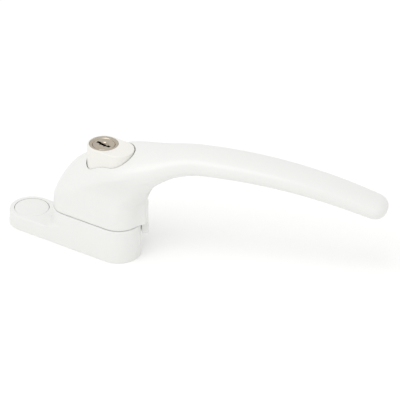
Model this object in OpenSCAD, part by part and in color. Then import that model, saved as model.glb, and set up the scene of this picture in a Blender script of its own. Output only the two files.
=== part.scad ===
// Key-locking cranked espagnolette window handle.
// Origin: spindle axis at the base's back face. +Z points out of the sash into the room,
// +X runs along the base towards the lever, +Y is the side the lever cranks and opens to.

/* [Base plate] */
// Distance between the two fixing screws
screw_centres = 43; // [40:0.5:50]
// Width of the base
base_w = 18.2; // [17.8:0.2:21]
// Height of the low end that holds the screw cap
low_h = 6.3; // [6:0.2:8]
// Height of the platform under the hub
platform_h = 14.6; // [13:0.1:17]
// Radius of the concave foot of the platform
foot_r = 3; // [1:0.5:4]
// Rounding of the base's top edges
base_edge_r = 0.6; // [0.3:0.1:0.8]
// Diameter of the fixing screw holes
screw_hole_d = 5.3; // [4.3:0.1:6.3]
// Diameter of the fixing screws' countersunk heads
screw_head_d = 9.4; // [8:0.1:10]
// Diameter of the screw cap
cap_d = 14.0; // [12:0.1:14.6]

/* [Drive] */
// Across flats of the square spindle socket
socket_w = 7.1; // [6:0.1:7.3]
// Diameter of the spindle sleeve
sleeve_d = 12; // [11.8:0.1:12.2]
// Depth of the socket from the sleeve's back end
socket_depth = 18; // [14:1:18]
// Opening angle between the two ends of the stop groove
open_angle = 90; // [60:5:90]

/* [Hub and lever] */
// Gap between platform and hub
hub_gap = 0.4; // [0.3:0.1:0.6]
// Height of the lever's highest point above the hub's underside
hub_h = 35.5; // [33:0.1:42]
// Crank of the lever away from the base's long axis, in degrees
crank = 24; // [0:1:30]
// Length of the grip from the neck to the start of the tip
grip_len = 72; // [56:1:96]
// Width of the lever's grip
grip_w = 17; // [14:0.2:20]
// Thickness of the lever's grip
grip_t = 9.8; // [8.4:0.1:11.8]
// How far the tip drops below the neck
tip_drop = 13; // [6:0.5:16]
// Radial overhang of the hub's lip past the end of the base
lip_overhang = 3.4; // [2.6:0.1:4]
// How far the lip hangs below the hub
lip_h = 6.2; // [4:0.2:9]

/* [Push button and lock] */
// Distance from the spindle to the lock's axis
lock_x = 14.8; // [14.6:0.1:16]
// Width of the push button
button_w = 13.4; // [12.8:0.1:13.6]
// Distance between the centres of the button's two round ends
button_len = 6.9; // [5:0.1:8]
// Height of the button's top above the hub's underside
button_h = 33.2; // [32:0.1:36]
// Travel of the push button
button_travel = 4.5; // [3:0.1:4.8]
// Diameter of the key barrel
barrel_d = 9; // [8:0.1:9.4]
// Diameter of the locking pin
lock_pin_d = 2.5; // [2:0.1:2.7]

/* [Hidden] */
$fn = 64;

// clearances
slip = 0.05;       // running fit, per side
assembly = 0.15;   // parts that lie in a recess
button_gap = 0.25; // round the push button
eps = 0.01;        // overshoot of cuts

// colours
powder_white = [0.95, 0.95, 0.94];
plastic_white = [0.97, 0.96, 0.93];
steel = [0.7, 0.71, 0.73];
nickel = [0.68, 0.63, 0.56];
acetal = [0.86, 0.86, 0.82];
brass = [0.78, 0.66, 0.38];

// base
base_r = base_w / 2;
end_x = screw_centres / 2;
cap_r = cap_d / 2;
cap_gap = 0.2;
cap_skirt_h = 1.1;
cap_top_t = 1.2;
cap_seat_z = low_h - cap_top_t - cap_skirt_h;
head_r = screw_head_d / 2;
hole_r = screw_hole_d / 2;
sink_h = head_r - hole_r;
core_w = 11;
core_h = 3.2;

// drive
sleeve_r = sleeve_d / 2;
bush_r = sleeve_r + 1;
washer_r = sleeve_r + 1.45;
washer_t = 1;
washer_sink = washer_t - hub_gap + slip;
recess_h = 3.4;
recess_r = sleeve_r + 1.2;
sleeve_z0 = 0.5;
hub_z = platform_h + hub_gap;
sleeve_in_hub = 5.8;
sleeve_z1 = hub_z + sleeve_in_hub;
spigot_r = 3.5;
spigot_h = 5.5;
clip_z = 1.3;
clip_t = 0.7;
clip_groove = 0.45;
wave_t = 0.35;
dowel_r = 1;
dowel_len = 5;
stop_r = 8.9;
stop_pin_r = 1;
stop_h = 1.9;
groove_w = stop_pin_r + assembly;
groove_h = 2.3;

// lock stack, from the hub's underside up
plate_z = hub_z + 3.9;
plate_t = 1.2;
plate_top = plate_z + plate_t;
plate_r = 7;
housing_z = plate_top + button_travel + 0.2;
housing_floor = 2;
button_z = hub_z + button_h;
flange_t = 1.3;
face_sink = 0.2;
housing_top = button_z - face_sink;
button_r = button_w / 2;
pocket_r = button_r + button_gap;
flange_r = button_r - 0.8;
housing_r = button_r - 1.1;
button_skirt_z = housing_z + 8.3;
waist_len = button_len / 2;
waist_t = 12.5;
tail_t = 8;
tail_clear = 0.3;
barrel_r = barrel_d / 2;
barrel_z = housing_z + housing_floor + slip;
barrel_top = housing_top - 0.15;
tail_pin_r = 1.3;
cam_t = 1.5;
cam_z = plate_top + 1.2;
cam_hub_r = 2;
cam_reach = 5.2;
cam_w = 3;
lock_pin_r = lock_pin_d / 2;
lock_pin_out = 4.1;
lock_pin_dir = 230;
lock_pin_x = lock_x + lock_pin_out * cos(lock_pin_dir);
lock_pin_y = lock_pin_out * sin(lock_pin_dir);
lock_pin_z = platform_h + 1;
clip2_t = 0.6;
clip2_z = button_skirt_z - clip2_t - slip;
spring_wire = 0.7;
spring_r = (housing_r + pocket_r) / 2 + 0.02;
cover_screw_x = lock_x + 7.4;
cover_screw_y = 5.4;
cover_screw_r = 0.95;
wafer_n = 4;
wafer_pitch = 3.4;
wafer_z0 = barrel_z + 4.4;
wafer_t = 0.7;
wafer_web_y = 3.4;
wafer_top_y = 2;

// lever
hub_end = end_x + base_r;
hub_r = base_r - 0.3;
top_z = hub_z + hub_h;
neck_s = hub_end + 21.9;
half_w = grip_w / 2;
bulge_x = lip_overhang * 0.5;
bulge_y = lip_overhang * 0.88;
bend_from = 11;
bend_to = end_x + 3.5;
bend_r = (bend_to - bend_from) / max(crank * PI / 180, 0.001);
oval_power = 2 / 2.4;
section_points = 36;
steps_per_section = 2;
tip_len = 5.5;
tip_steps = 5;
lip_gap = 0.45;
lip_inset = 0.12;
lip_from = 34;
lip_to = 100;

// ---------- shared shapes ----------

// outline of two equal circles joined by tangents, from x0 to x1
module obround(x0, x1, r) {
    translate([x0, 0]) circle(r);
    translate([x1, 0]) circle(r);
    translate([x0, -r]) square([x1 - x0, 2 * r]);
}

// half profile of a disc whose top edge is rounded
module rounded_half(r, h, f) {
    square([r - f, h]);
    square([r, h - f]);
    translate([r - f, h - f]) intersection() {
        circle(f);
        square(f);
    }
}

// obround block whose top edge is rounded
module rounded_block(x0, x1, r, h, f) {
    for (x = [x0, x1])
        translate([x, 0, 0]) rotate_extrude() rounded_half(r, h, f);
    translate([x0, 0, 0]) rotate([90, 0, 90]) linear_extrude(x1 - x0) {
        rounded_half(r, h, f);
        mirror([1, 0]) rounded_half(r, h, f);
    }
}

// flat ring
module ring(r_in, r_out, h) {
    difference() {
        cylinder(r = r_out, h = h);
        translate([0, 0, -1]) cylinder(r = r_in, h = h + 2);
    }
}

// pie slice of angle a centred on the direction dir
module sector(r, h, dir, a) {
    rotate([0, 0, dir]) linear_extrude(h)
        polygon([[0, 0], [r, -r * tan(a / 2)], [r, r * tan(a / 2)]]);
}

// helical coil round the Z axis with flat closed ends
module coil(r, wire, h, turns, steps, sides) {
    n = turns * steps;
    pts = [for (i = [0 : n]) let (
            a = 360 * i / steps,
            rise = min(max((a / 360 - 0.75) / (turns - 1.5), 0), 1)
        )
        for (j = [0 : sides - 1]) let (
                b = 360 * j / sides,
                q = r + wire / 2 * cos(b)
            )
            [q * cos(a), q * sin(a), wire / 2 + rise * (h - wire) + wire / 2 * sin(b)]];
    sidefaces = [for (i = [0 : n - 1]) for (j = [0 : sides - 1]) let (
            k = (j + 1) % sides
        )
        for (f = [
                [i * sides + j, (i + 1) * sides + k, i * sides + k],
                [i * sides + j, (i + 1) * sides + j, (i + 1) * sides + k]
            ]) f];
    ends = [
        [for (j = [0 : sides - 1]) j],
        [for (j = [sides - 1 : -1 : 0]) n * sides + j]
    ];
    polyhedron(pts, concat(sidefaces, ends), convexity = 8);
}

// ---------- base ----------

module base_plate() {
    color(powder_white) difference() {
        union() {
            rounded_block(-end_x, end_x, base_r, low_h, base_edge_r);
            rounded_block(0, end_x, base_r, platform_h, base_edge_r);
            // concave foot round the platform's left end
            intersection() {
                rotate_extrude() difference() {
                    translate([base_r - 1, 0]) square([foot_r + 1, low_h + foot_r]);
                    translate([base_r + foot_r, low_h + foot_r]) circle(foot_r);
                }
                linear_extrude(platform_h) obround(-end_x, end_x, base_r - eps);
            }
        }
        // recess of the screw cap
        translate([-end_x, 0, cap_seat_z]) cylinder(r = cap_r + cap_gap, h = low_h);
        // fixing screws: clearance hole, countersink and the deep access hole in the platform
        for (x = [-end_x, end_x]) translate([x, 0, 0]) {
            translate([0, 0, -1]) cylinder(r = hole_r, h = low_h);
            translate([0, 0, cap_seat_z - sink_h])
                cylinder(r1 = hole_r, r2 = head_r, h = sink_h + eps);
        }
        translate([end_x, 0, cap_seat_z]) cylinder(r = head_r, h = platform_h);
        // bearing bore, washer seat and the round recess in the back
        translate([0, 0, -1]) cylinder(r = bush_r, h = platform_h + 2);
        translate([0, 0, platform_h - washer_sink]) cylinder(r = washer_r + slip, h = platform_h);
        translate([0, 0, -1]) cylinder(r = recess_r, h = recess_h + 1);
        // hole that takes the locking pin
        translate([lock_pin_x, lock_pin_y, low_h + 1])
            cylinder(r = lock_pin_r + 0.35, h = platform_h);
        // hole of the stop pin
        rotate([0, 0, open_angle / 2]) translate([stop_r, 0, platform_h - 4])
            cylinder(r = stop_pin_r, h = platform_h);
        // cast pockets in the back
        for (x = [-end_x + 5.6, recess_r + 1.6])
            translate([x, -core_w / 2, -1]) cube([core_l(x), core_w, core_h + 1]);
    }
}
function core_l(x) = x < 0 ? end_x - 5.6 - recess_r - 1.6 : end_x - hole_r - 2.4 - x;

module bearing_bush() {
    color(acetal) translate([0, 0, recess_h])
        ring(sleeve_r + slip, bush_r, platform_h - washer_sink - recess_h);
}

module thrust_washer() {
    color(acetal) translate([0, 0, platform_h - washer_sink])
        ring(sleeve_r + slip, washer_r, washer_t - slip);
}

module stop_pin() {
    color(steel) rotate([0, 0, open_angle / 2]) translate([stop_r, 0, platform_h - 4])
        cylinder(r = stop_pin_r, h = 4 + stop_h);
}

// three-wave spring washer between the bearing and the circlip
module wave_washer() {
    n = 72;
    z0 = clip_z + clip_t + slip;
    amp = (recess_h - z0 - wave_t) / 2 - slip;
    r0 = sleeve_r + assembly;
    r1 = recess_r - assembly;
    pts = [for (i = [0 : n - 1]) let (a = 360 * i / n, z = z0 + amp + amp * cos(3 * a))
        for (p = [[r0, 0], [r1, 0], [r1, wave_t], [r0, wave_t]])
            [p[0] * cos(a), p[0] * sin(a), z + p[1]]];
    faces = [for (i = [0 : n - 1]) for (j = [0 : 3]) let (
            k = (j + 1) % 4, m = (i + 1) % n
        )
        for (f = [
                [i * 4 + j, i * 4 + k, m * 4 + k],
                [i * 4 + j, m * 4 + k, m * 4 + j]
            ]) f];
    color(steel) polyhedron(pts, faces, convexity = 4);
}

module screw_cap() {
    color(powder_white) translate([-end_x, 0, cap_seat_z]) difference() {
        rotate_extrude() rounded_half(cap_r, cap_skirt_h + cap_top_t, 0.25);
        translate([0, 0, -1]) cylinder(r = cap_r - 1.1, h = cap_skirt_h + 1);
    }
}

// ---------- lever ----------

// the lever's path bends from the base's axis to the crank angle over this stretch
function heading(s) = crank * min(max((s - bend_from) / (bend_to - bend_from), 0), 1);
function path_point(s) =
    s <= bend_from ? [s, 0] :
    let (h = heading(s), bend = [bend_from + bend_r * sin(h), bend_r * (1 - cos(h))])
    bend + max(s - bend_to, 0) * [cos(h), sin(h)];

// Each section of the lever is a slice between an outer point (back of the hub, top of the
// grip) and an inner point (front of the hub, underside of the grip), both along the path:
// [outer s, outer z, inner s, inner z, half width, 0 obround .. 1 oval, bulge of the lip side,
//  widening of the near shoulder, rise of the far shoulder]
function grip_section(f) = let (
        s = neck_s + f * grip_len,
        z = top_z - grip_t / 2 - tip_drop * f * f,
        slope = 2 * tip_drop / grip_len * f,
        t = grip_t / 2 * (1 - 0.245 * f)
    )
    [s + t * slope, z + t, s - t * slope, z - t, half_w * (1 - 0.15 * f * f * f), 1, 0, 0, 0];
SECTIONS = concat(
    [
        [0.5 - hub_r, hub_z, hub_end, hub_z, hub_r, 0, 1, 0, 0],
        [0.5 - hub_r, hub_z + 4, hub_end, hub_z + 4, hub_r, 0, 1, 0, 0],
        [1.5 - hub_r, hub_z + 7.6, hub_end + 0.1, hub_z + 7.4, hub_r, 0, 1, 0, 0],
        [3.7 - hub_r, hub_z + 12.9, hub_end + 0.5, hub_z + 9.6, hub_r, 0.2, 0.9, 0, 2.1],
        [7.6 - hub_r, hub_z + 17.5, hub_end + 1.8, hub_z + 12.1, hub_r, 0.2, 0.6, 0.2, 4.8],
        [13.4 - hub_r, hub_z + 22.5, hub_end + 3.2, hub_z + 14.8, hub_r, 0.1, 0.4, 1.7, 6.3],
        [21.8 - hub_r, top_z - 7.1, hub_end + 6.2, hub_z + 17.9, hub_r, 0.5, 0.2, 5, 5.3],
        [hub_end - 5.6, top_z - 3.1, hub_end + 10.4, top_z - 14.4, hub_r, 0.9, 0, 5, 3.9],
        [hub_end + 7.9, top_z - 1.4, hub_end + 15.5, top_z - 11.5, (hub_r + half_w) / 2, 1, 0, 2.3, 0.8],
        [neck_s - 1.5, top_z, neck_s + 1.5, top_z - grip_t, half_w, 1, 0, 0, 0]
    ],
    [for (i = [1 : 6]) grip_section(i / 6)]
);

// Catmull-Rom interpolation between the listed sections
function section_at(u) = let (
        i = min(max(floor(u), 0), len(SECTIONS) - 2), f = u - i,
        a = SECTIONS[max(i - 1, 0)], b = SECTIONS[i],
        c = SECTIONS[i + 1], d = SECTIONS[min(i + 2, len(SECTIONS) - 1)]
    )
    (2 * b + (c - a) * f + (2 * a - 5 * b + 4 * c - d) * f * f
        + (3 * b - a - 3 * c + d) * f * f * f) / 2;

function rim(v, p) = sign(v) * pow(abs(v), p);
function ring_points(q) = let (
        mid_s = (q[0] + q[2]) / 2, mid_z = (q[1] + q[3]) / 2, h = heading(mid_s),
        centre = path_point(mid_s),
        long_s = (q[0] - q[2]) / 2, long_z = (q[1] - q[3]) / 2,
        a = norm([long_s, long_z]), w = q[4], r = min(a, w),
        blend = min(max(q[5], 0), 1), bulge = max(q[6], 0)
    )
    [for (j = [0 : section_points - 1]) let (
            t = 360 * (j + 0.5) / section_points,
            c = cos(t), s = sin(t), lip_side = c < 0 && s > 0 ? bulge : 0,
            p_slot = sign(c) * (a - r) + r * c - lip_side * bulge_x,
            w_slot = sign(s) * (w - r) + r * s + lip_side * bulge_y,
            shoulder = (1 + c) / 2,
            p = (1 - blend) * p_slot + blend * a * rim(c, oval_power) + q[8] * s * shoulder,
            y = (1 - blend) * w_slot + blend * w * rim(s, oval_power) + q[7] * min(s, 0) * shoulder,
            along = p / a * long_s
        )
        [
            centre[0] + along * cos(h) - y * sin(h),
            centre[1] + along * sin(h) + y * cos(h),
            mid_z + p / a * long_z
        ]];

// the tip closes over a quarter round
function tip_section(k) = let (
        q = SECTIONS[len(SECTIONS) - 1], e = 90 * k / tip_steps,
        go = tip_len * sin(e), keep = max(pow(cos(e), 0.8), 0.03),
        ms = (q[0] + q[2]) / 2, mz = (q[1] + q[3]) / 2, fall = -0.3 * go
    )
    [
        ms + go + (q[0] - ms) * keep, mz + fall + (q[1] - mz) * keep,
        ms + go + (q[2] - ms) * keep, mz + fall + (q[3] - mz) * keep,
        q[4] * keep, 1, 0, 0, 0
    ];

LEVER_RINGS = concat(
    [for (i = [0 : (len(SECTIONS) - 1) * steps_per_section])
        ring_points(section_at(i / steps_per_section))],
    [for (k = [1 : tip_steps]) ring_points(tip_section(k))]
);

module lever_skin() {
    n = len(LEVER_RINGS);
    m = section_points;
    walls = [for (i = [0 : n - 2]) for (j = [0 : m - 1]) let (k = (j + 1) % m)
        for (f = [
                [i * m + j, i * m + k, (i + 1) * m + k],
                [i * m + j, (i + 1) * m + k, (i + 1) * m + j]
            ]) f];
    ends = [
        [for (j = [m - 1 : -1 : 0]) j],
        [for (j = [0 : m - 1]) (n - 1) * m + j]
    ];
    polyhedron([for (ring = LEVER_RINGS) for (p = ring) p], concat(walls, ends), convexity = 8);
}

// stop lip that hangs beside the base's end on the opening side
module lip() {
    intersection() {
        translate([0, 0, hub_z - lip_h]) linear_extrude(lip_h + 1) difference() {
            hull() {
                translate([end_x, 0]) circle(hub_r - eps);
                translate([hub_end - hub_r + bulge_x, bulge_y]) circle(hub_r - lip_inset);
            }
            obround(0, end_x, base_r + lip_gap);
        }
        translate([end_x, 0, hub_z - lip_h - 1])
            sector(3 * base_r, lip_h + 3, (lip_from + lip_to) / 2, lip_to - lip_from);
    }
}

module plate_outline(grow) {
    translate([lock_x, 0]) circle(plate_r + grow);
    translate([lock_x, -cover_screw_y - 1.8 - grow])
        square([cover_screw_x - lock_x + 1.8 + grow, 2 * (cover_screw_y + 1.8 + grow)]);
}

module lever() {
    color(powder_white) difference() {
        union() {
            lever_skin();
            lip();
        }
        // bore of the spindle sleeve and its two axial dowels
        translate([0, 0, hub_z - 1]) cylinder(r = sleeve_r, h = sleeve_z1 - hub_z + 1);
        translate([0, 0, hub_z]) cylinder(r = spigot_r, h = sleeve_in_hub + spigot_h + assembly);
        for (a = [90, 270]) rotate([0, 0, a]) translate([sleeve_r, 0, hub_z - 1])
            cylinder(r = dowel_r, h = dowel_len + 1);
        // arc groove that runs over the stop pin
        translate([0, 0, hub_z - 1]) intersection() {
            ring(stop_r - groove_w, stop_r + groove_w, groove_h + 1);
            sector(3 * stop_r, groove_h + 1, 0, open_angle + 2 * asin(stop_pin_r / stop_r));
        }
        // seat of the cover plate and the screws that hold it
        translate([0, 0, hub_z - 1]) linear_extrude(plate_top - hub_z + 1) plate_outline(assembly);
        for (y = [-cover_screw_y, cover_screw_y])
            translate([cover_screw_x, y, plate_top - 1]) cylinder(r = cover_screw_r, h = 6);
        // pocket of the lock and of the button's tail
        translate([lock_x, 0, plate_top - 1]) cylinder(r = pocket_r, h = hub_h);
        for (step = [[waist_len, waist_t], [button_len, tail_t]])
            translate([0, 0, button_z - step[1] - button_travel - tail_clear]) linear_extrude(hub_h)
                obround(lock_x, lock_x + step[0], pocket_r);
    }
}

module spindle_sleeve() {
    color(steel) difference() {
        translate([0, 0, sleeve_z0]) {
            cylinder(r = sleeve_r, h = sleeve_z1 - sleeve_z0);
            cylinder(r = spigot_r, h = sleeve_z1 - sleeve_z0 + spigot_h);
        }
        translate([-socket_w / 2, -socket_w / 2, sleeve_z0 - 1])
            cube([socket_w, socket_w, socket_depth + 1]);
        for (a = [90, 270]) rotate([0, 0, a]) translate([sleeve_r, 0, hub_z])
            cylinder(r = dowel_r, h = dowel_len);
        translate([0, 0, clip_z - slip]) ring(sleeve_r - clip_groove, sleeve_r + 1, clip_t + 2 * slip);
    }
}

module drive_dowels() {
    color(steel) for (a = [90, 270]) rotate([0, 0, a]) translate([sleeve_r, 0, hub_z])
        cylinder(r = dowel_r, h = dowel_len);
}

module circlip() {
    color(steel) translate([0, 0, clip_z]) difference() {
        ring(sleeve_r - clip_groove + eps, recess_r - 0.25, clip_t);
        translate([0, 0, -1]) sector(3 * sleeve_r, clip_t + 2, 180, 50);
    }
}

// ---------- lock and push button ----------

module cam_outline(grow) {
    circle(cam_hub_r + grow);
    translate([0, -cam_w / 2 - grow]) square([cam_reach + grow, cam_w + 2 * grow]);
}

module cover_plate() {
    color(steel) translate([0, 0, plate_z]) difference() {
        linear_extrude(plate_t) plate_outline(0);
        translate([lock_x, 0, -1]) linear_extrude(plate_t + 2) cam_outline(0.25);
        translate([lock_pin_x, lock_pin_y, -1]) cylinder(r = lock_pin_r + 0.1, h = plate_t + 2);
        for (y = [-cover_screw_y, cover_screw_y])
            translate([cover_screw_x, y, -1]) cylinder(r = cover_screw_r + 0.1, h = plate_t + 2);
    }
}

module cover_screws() {
    color(steel) for (y = [-cover_screw_y, cover_screw_y])
        translate([cover_screw_x, y, plate_z]) difference() {
            union() {
                cylinder(r = cover_screw_r, h = 6);
                translate([0, 0, -0.9]) cylinder(r = 1.7, h = 0.9);
            }
            translate([-1.7, -0.25, -1]) cube([3.4, 0.5, 0.6]);
        }
}

module button_spring() {
    color(steel) translate([lock_x, 0, plate_top])
        coil(spring_r, spring_wire, button_skirt_z - plate_top - slip, 7, 24, 6);
}

module push_button() {
    color(plastic_white) difference() {
        union() {
            translate([lock_x, 0, button_skirt_z])
                cylinder(r = button_r, h = button_z - button_skirt_z - 1);
            translate([0, 0, button_z - waist_t]) linear_extrude(waist_t - 1)
                obround(lock_x, lock_x + waist_len, button_r);
            translate([0, 0, button_z - tail_t])
                rounded_block(lock_x, lock_x + button_len, button_r, tail_t, 0.45);
        }
        translate([lock_x, 0, 0]) {
            cylinder(r = housing_r + slip, h = button_z + 1);
            translate([0, 0, housing_top - flange_t]) cylinder(r = flange_r + slip, h = 10);
        }
    }
}

module lock_housing() {
    color(nickel) difference() {
        translate([lock_x, 0, 0]) {
            translate([0, 0, housing_z]) cylinder(r = housing_r, h = housing_top - housing_z);
            translate([0, 0, housing_top - flange_t]) cylinder(r = flange_r, h = flange_t);
        }
        translate([lock_x, 0, housing_z + housing_floor]) cylinder(r = barrel_r + slip, h = button_h);
        translate([lock_x, 0, housing_z - 1]) cylinder(r = tail_pin_r + slip, h = housing_floor + 2);
        translate([lock_pin_x, lock_pin_y, housing_z - 1]) cylinder(r = lock_pin_r, h = housing_floor);
        translate([lock_x, 0, clip2_z - slip])
            ring(housing_r - 0.4, housing_r + 1, clip2_t + 2 * slip);
    }
}

module lock_clip() {
    color(steel) translate([lock_x, 0, clip2_z]) difference() {
        ring(housing_r - 0.4 + eps, housing_r + 0.25, clip2_t);
        translate([0, 0, -1]) sector(3 * housing_r, clip2_t + 2, 0, 60);
    }
}

module locking_pin() {
    color(steel) translate([lock_pin_x, lock_pin_y, lock_pin_z]) {
        cylinder(r1 = lock_pin_r - 0.4, r2 = lock_pin_r, h = 0.6);
        translate([0, 0, 0.6]) cylinder(r = lock_pin_r, h = housing_z + housing_floor - 1 - lock_pin_z - 0.6);
    }
}

module lock_barrel() {
    color(nickel) translate([lock_x, 0, 0]) difference() {
        union() {
            translate([0, 0, barrel_z]) cylinder(r = barrel_r, h = barrel_top - barrel_z);
            translate([0, 0, cam_z]) cylinder(r = tail_pin_r, h = barrel_z - cam_z + eps);
        }
        // keyway
        translate([-0.8, -3.3, barrel_z + 2.5]) cube([1.6, 6.6, barrel_top]);
        // wafer slots, closed on one side where the springs bear
        for (i = [0 : wafer_n - 1]) translate([-3, -barrel_r - 1, wafer_z(i) - slip])
            cube([6, barrel_r + 1 + wafer_web_y, wafer_t + 2 * slip]);
        // tapped hole of the cam's screw
        translate([0, 0, cam_z - 1]) cylinder(r = 0.8, h = 4);
    }
}
function wafer_z(i) = wafer_z0 + i * wafer_pitch;

module wafers() {
    color(brass) translate([lock_x, 0, 0]) for (i = [0 : wafer_n - 1])
        translate([0, 0, wafer_z(i)]) difference() {
            intersection() {
                translate([-2.9, -barrel_r, 0]) cube([5.8, barrel_r + wafer_top_y, wafer_t]);
                cylinder(r = barrel_r - 0.1, h = wafer_t);
            }
            translate([-1, -3.4 + 0.25 * i, -1]) cube([2, 4.4, wafer_t + 2]);
        }
}

module wafer_springs() {
    color(steel) translate([lock_x, 0, 0]) for (i = [0 : wafer_n - 1])
        translate([1.9, wafer_top_y, wafer_z(i) + wafer_t / 2]) rotate([-90, 0, 0])
            coil(0.26, 0.14, wafer_web_y - wafer_top_y, 4, 10, 4);
}

module lock_cam() {
    color(steel) translate([lock_x, 0, cam_z]) difference() {
        linear_extrude(cam_t) cam_outline(0);
        translate([0, 0, -1]) cylinder(r = tail_pin_r, h = cam_t + 2);
    }
}

module cam_screw() {
    color(steel) translate([lock_x, 0, cam_z]) difference() {
        union() {
            translate([0, 0, -1]) cylinder(r = 1.7, h = 1);
            translate([0, 0, -eps]) cylinder(r = 0.8, h = 3);
        }
        translate([-1.7, -0.25, -1.1]) cube([3.4, 0.5, 0.6]);
    }
}

base_plate();
bearing_bush();
thrust_washer();
stop_pin();
wave_washer();
screw_cap();
lever();
spindle_sleeve();
drive_dowels();
circlip();
cover_plate();
cover_screws();
button_spring();
push_button();
lock_housing();
lock_clip();
locking_pin();
lock_barrel();
wafers();
wafer_springs();
lock_cam();
cam_screw();
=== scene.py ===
"""Visible pieces, finishes and stage of a key-locking cranked window handle.

The base lies with its back on the floor, the spindle's axis is the Z axis, the base runs
along X and the lever cranks towards +Y. Every size is in metres.
"""

import math

import bmesh
import bpy
from bpy.props import FloatProperty, FloatVectorProperty, IntProperty, PointerProperty
from bpy.types import Operator, Panel, PropertyGroup
from mathutils import Matrix, Vector


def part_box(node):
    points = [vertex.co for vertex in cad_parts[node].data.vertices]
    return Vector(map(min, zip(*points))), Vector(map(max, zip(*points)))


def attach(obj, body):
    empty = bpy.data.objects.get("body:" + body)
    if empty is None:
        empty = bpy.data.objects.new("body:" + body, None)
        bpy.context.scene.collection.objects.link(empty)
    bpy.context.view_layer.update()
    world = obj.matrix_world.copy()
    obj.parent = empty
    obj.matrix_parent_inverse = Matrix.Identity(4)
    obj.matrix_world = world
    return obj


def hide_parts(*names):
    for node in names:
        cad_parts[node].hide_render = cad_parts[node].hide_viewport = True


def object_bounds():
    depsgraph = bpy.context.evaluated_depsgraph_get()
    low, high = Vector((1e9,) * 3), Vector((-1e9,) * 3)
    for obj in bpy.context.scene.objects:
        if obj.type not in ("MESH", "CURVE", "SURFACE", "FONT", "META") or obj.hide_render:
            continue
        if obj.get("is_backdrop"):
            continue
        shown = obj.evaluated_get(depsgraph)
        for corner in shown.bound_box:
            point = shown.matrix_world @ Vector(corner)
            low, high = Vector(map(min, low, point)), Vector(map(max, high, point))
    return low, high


bl_info = {
    "name": "Locking window handle",
    "version": (1, 0, 0),
    "blender": (4, 5, 0),
    "location": "View3D > Sidebar > Handle",
    "description": "Builds the visible pieces of a key-locking cranked window handle",
    "category": "Object",
}

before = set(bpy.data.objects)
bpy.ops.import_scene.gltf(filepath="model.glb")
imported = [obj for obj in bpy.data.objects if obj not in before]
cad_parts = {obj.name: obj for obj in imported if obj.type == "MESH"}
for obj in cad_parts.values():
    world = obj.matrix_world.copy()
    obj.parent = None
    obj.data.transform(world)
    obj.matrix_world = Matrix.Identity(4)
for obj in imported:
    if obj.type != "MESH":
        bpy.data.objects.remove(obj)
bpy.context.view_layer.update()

MM = 0.001
TINY = 1e-7

# ---------- sizes taken from the frame ----------

BASE_LOW, BASE_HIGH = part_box("base_plate")
BASE_RADIUS = (BASE_HIGH[1] - BASE_LOW[1]) / 2
BASE_END = BASE_HIGH[0] - BASE_RADIUS
PLATFORM_TOP = BASE_HIGH[2]

CAP_LOW, CAP_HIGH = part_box("screw_cap")
CAP_RADIUS = (CAP_HIGH[0] - CAP_LOW[0]) / 2
LOW_TOP = CAP_HIGH[2]

BUSH_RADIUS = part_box("bearing_bush")[1][0]
BUSH_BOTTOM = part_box("bearing_bush")[0][2]
WASHER_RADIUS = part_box("thrust_washer")[1][0]
WASHER_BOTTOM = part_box("thrust_washer")[0][2]
SLEEVE_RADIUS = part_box("spindle_sleeve")[1][0]
SLEEVE_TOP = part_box("spindle_sleeve")[1][2]
STOP_PIN_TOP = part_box("stop_pin")[1][2]
STOP_PIN_RADIUS = (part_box("stop_pin")[1][0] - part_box("stop_pin")[0][0]) / 2
STOP_PIN_AT = Vector((
    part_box("stop_pin")[1][0] - STOP_PIN_RADIUS,
    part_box("stop_pin")[1][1] - STOP_PIN_RADIUS,
))

HUB_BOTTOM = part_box("drive_dowels")[0][2]
LEVER_LOW, LEVER_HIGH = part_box("lever")
LEVER_TOP = LEVER_HIGH[2]
LIP_HEIGHT = HUB_BOTTOM - LEVER_LOW[2]

PLATE_LOW, PLATE_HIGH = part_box("cover_plate")
BUTTON_LOW, BUTTON_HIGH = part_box("push_button")
BUTTON_RADIUS = (BUTTON_HIGH[1] - BUTTON_LOW[1]) / 2
BUTTON_TOP = BUTTON_HIGH[2]
LOCK_X = BUTTON_LOW[0] + BUTTON_RADIUS
BUTTON_LENGTH = BUTTON_HIGH[0] - BUTTON_RADIUS - LOCK_X
FACE_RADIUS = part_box("lock_housing")[1][1]
FACE_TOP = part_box("lock_housing")[1][2]
FACE_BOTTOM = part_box("lock_housing")[0][2]
BARREL_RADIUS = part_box("lock_barrel")[1][1]
BARREL_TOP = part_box("lock_barrel")[1][2]
PIN_LOW, PIN_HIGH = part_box("locking_pin")
PIN_RADIUS = (PIN_HIGH[0] - PIN_LOW[0]) / 2
PIN_AT = ((PIN_LOW[0] + PIN_HIGH[0]) / 2, (PIN_LOW[1] + PIN_HIGH[1]) / 2)

# ---------- fixed sizes ----------

FLUSH_STEP = 0.01 * MM       # keeps walls that would be flush from coinciding
PAST = 1 * MM                # how far a cutting tool runs past the surface it cuts
SLIP = 0.05 * MM             # clearance between pieces that slide or turn in each other
HUB_INSET = 0.3 * MM         # of the hub's wall from the base's
HUB_RADIUS = BASE_RADIUS - HUB_INSET
HUB_END = BASE_END + BASE_RADIUS
NECK = HUB_END + 21.9 * MM   # where the crank ends and the grip starts
LIP_OVERHANG = 3.4 * MM
LIP_GAP = 0.45 * MM
LIP_FROM = math.radians(34)
LIP_TO = math.radians(100)
SWING = math.radians(90)     # of the lever, from one end of the stop groove to the other
GRIP_LENGTH = 72 * MM
GRIP_WIDTH = 17 * MM
GRIP_THICKNESS = 9.8 * MM
THICKNESS_LOSS = 0.245       # share of the grip's thickness that is lost by its end
WIDTH_LOSS = 0.15            # share of the grip's width that is lost by its end
TIP_DROP = 13 * MM           # of the grip's end below its start
TIP_LENGTH = 5.5 * MM
TIP_SLOPE = -0.3
TIP_FULLNESS = 0.8           # 1 would give a round tip, less a blunter one
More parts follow.
